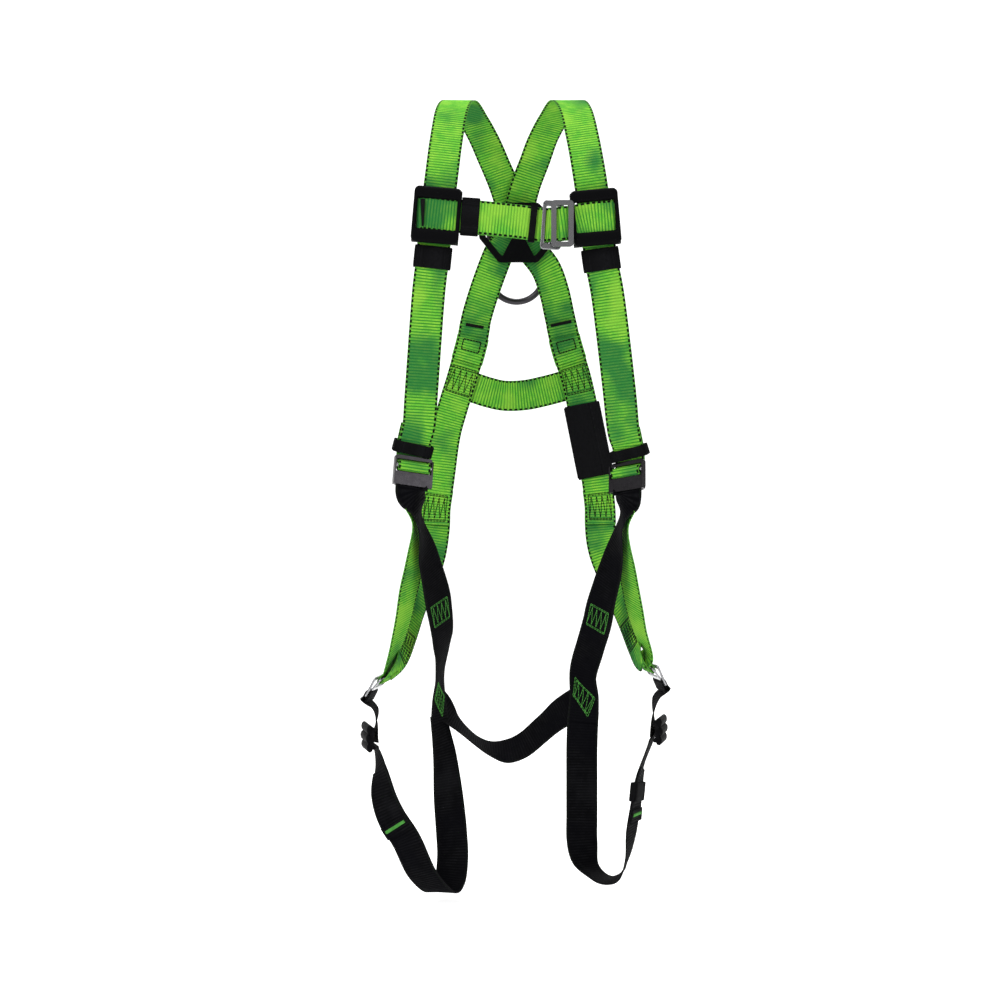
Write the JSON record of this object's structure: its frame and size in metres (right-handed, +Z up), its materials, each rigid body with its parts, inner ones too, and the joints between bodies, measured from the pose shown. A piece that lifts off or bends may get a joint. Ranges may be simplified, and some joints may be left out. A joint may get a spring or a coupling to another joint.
{
  "type": "full body harness",
  "caption": "Full-body fall-arrest harness of ribbed webbing with crossed shoulder straps, a back plate and D-ring, a buckled chest strap, shoulder adjusters and leg loops",
  "frame": {"origin": "midway between the tops of the two shoulder straps, where the wearer's shoulders hold the harness", "axes": "+Z up, -Y the front where the chest strap is, +X to the right as seen from the front"},
  "size_m": [0.436, 0.2984, 1.1199],
  "materials": {
    "green_webbing": "ribbed polyester webbing, lime green, black tracer threads at both edges",
    "black_webbing": "ribbed polyester webbing, black",
    "black_elastic": "matt woven elastic",
    "black_cloth": "matt textile sleeve",
    "black_plastic": "moulded, satin",
    "steel": "stamped and zinc plated, soft shine",
    "dark_steel": "stamped or forged, darker plating"
  },
  "bodies": {
    "harness": {"shoulder_strap_l": "green_webbing", "shoulder_strap_r": "green_webbing", "dorsal_plate": "black_plastic", "sub_back_strap": "green_webbing", "label_pouch": "black_cloth", "adjuster_frame_l": "dark_steel", "adjuster_frame_r": "dark_steel", "hip_loop_l": "green_webbing", "hip_loop_r": "green_webbing", "hip_frame_l": "steel", "hip_frame_r": "steel", "leg_strap_l": "black_webbing", "leg_strap_r": "black_webbing", "sub_pelvic_strap": "black_webbing", "leg_tab_l": "black_webbing", "leg_tab_r": "black_webbing"},
    "chest": {"chest_strap_l": "green_webbing", "chest_strap_r": "green_webbing", "chest_slider_l": "black_plastic", "chest_slider_r": "black_plastic", "chest_buckle_frame": "steel"},
    "chest_keeper_l": {"chest_keeper_l": "black_elastic"},
    "chest_keeper_r": {"chest_keeper_r": "black_elastic"},
    "shoulder_keeper_l": {"shoulder_keeper_l": "black_elastic"},
    "shoulder_keeper_r": {"shoulder_keeper_r": "black_elastic"},
    "chest_buckle_plate": {"chest_buckle_plate": "steel"},
    "adjuster_bar_l": {"adjuster_bar_l": "steel"},
    "adjuster_bar_r": {"adjuster_bar_r": "steel"},
    "adjuster_keeper_l": {"adjuster_keeper_l": "black_elastic"},
    "adjuster_keeper_r": {"adjuster_keeper_r": "black_elastic"},
    "dorsal_ring": {"dorsal_ring": "dark_steel"},
    "label_flap": {"label_flap": "black_cloth"},
    "hip_plate_l": {"hip_plate_l": "steel"},
    "hip_plate_r": {"hip_plate_r": "steel"},
    "leg_slider_l": {"leg_slider_l": "black_plastic"},
    "leg_slider_r": {"leg_slider_r": "black_plastic"},
    "leg_keeper_r": {"leg_keeper_r": "black_elastic"},
    "leg_loop_l": {"leg_loop_l": "black_webbing"},
    "leg_loop_r": {"leg_loop_r": "black_webbing"}
  },
  "joints": [
    {"name": "chest_height", "type": "slide", "parent": "harness", "child": "chest", "axis": [0, 0, 1], "range_m": [0, 0.01]},
    {"name": "chest_keeper_l_slide", "type": "slide", "parent": "chest", "child": "chest_keeper_l", "axis": [0.9976, 0, -0.0698], "range_m": [0, 0.012]},
    {"name": "chest_keeper_r_slide", "type": "slide", "parent": "chest", "child": "chest_keeper_r", "axis": [0.9945, 0, -0.1045], "range_m": [-0.008, 0.003]},
    {"name": "shoulder_keeper_l_slide", "type": "slide", "parent": "harness", "child": "shoulder_keeper_l", "axis": [0.1045, 0, 0.9945], "range_m": [-0.012, 0]},
    {"name": "shoulder_keeper_r_slide", "type": "slide", "parent": "harness", "child": "shoulder_keeper_r", "axis": [-0.1392, 0, 0.9903], "range_m": [-0.012, 0]},
    {"name": "chest_plate_tilt", "type": "hinge", "parent": "chest", "child": "chest_buckle_plate", "pos_m": [0.0568, -0.1358, -0.196], "axis": [0, 0, 1], "range_deg": [0, 8]},
    {"name": "adjuster_bar_l_slide", "type": "slide", "parent": "harness", "child": "adjuster_bar_l", "axis": [0.0602, 0.241, 0.9687], "range_m": [0, 0.0015]},
    {"name": "adjuster_bar_r_slide", "type": "slide", "parent": "harness", "child": "adjuster_bar_r", "axis": [0.0174, 0.248, 0.9686], "range_m": [0, 0.0015]},
    {"name": "adjuster_keeper_l_slide", "type": "slide", "parent": "harness", "child": "adjuster_keeper_l", "axis": [0.1502, -0.2703, 0.951], "range_m": [0, 0.003]},
    {"name": "adjuster_keeper_r_slide", "type": "slide", "parent": "harness", "child": "adjuster_keeper_r", "axis": [-0.1502, -0.2703, 0.951], "range_m": [0, 0.004]},
    {"name": "dorsal_ring_hinge", "type": "hinge", "parent": "harness", "child": "dorsal_ring", "pos_m": [0.003, 0.124, -0.153], "axis": [1, 0, 0], "range_deg": [0, 150]},
    {"name": "label_flap_hinge", "type": "hinge", "parent": "harness", "child": "label_flap", "pos_m": [0.08398, 0.10151, -0.48039], "axis": [-0.1908, 0.1026, 0.9763], "range_deg": [-110, 0]},
    {"name": "hip_plate_l_hinge", "type": "hinge", "parent": "harness", "child": "hip_plate_l", "pos_m": [-0.1848, -0.0059, -0.816], "axis": [0.1736, 0.9848, 0], "range_deg": [-12, 0]},
    {"name": "hip_plate_r_hinge", "type": "hinge", "parent": "harness", "child": "hip_plate_r", "pos_m": [0.1871, -0.0059, -0.8007], "axis": [0.1736, -0.9848, 0], "range_deg": [-12, 0]},
    {"name": "leg_slider_l_slide", "type": "slide", "parent": "harness", "child": "leg_slider_l", "axis": [0, 0, 1], "range_m": [-0.006, 0.006]},
    {"name": "leg_slider_r_slide", "type": "slide", "parent": "harness", "child": "leg_slider_r", "axis": [0, 0, 1], "range_m": [-0.006, 0.006]},
    {"name": "leg_loop_l_swing", "type": "hinge", "parent": "harness", "child": "leg_loop_l", "pos_m": [-0.108, 0.044, -0.885], "axis": [0.7777, 0.5805, 0.2412], "range_deg": [-8, 8]},
    {"name": "leg_loop_r_swing", "type": "hinge", "parent": "harness", "child": "leg_loop_r", "pos_m": [0.097, 0.045, -0.885], "axis": [0.8051, -0.5901, -0.06], "range_deg": [-8, 8]},
    {"name": "leg_keeper_r_slide", "type": "slide", "parent": "leg_loop_r", "child": "leg_keeper_r", "axis": [0.17, 0.15, 0.974], "range_m": [-0.004, 0.001]}
  ]
}
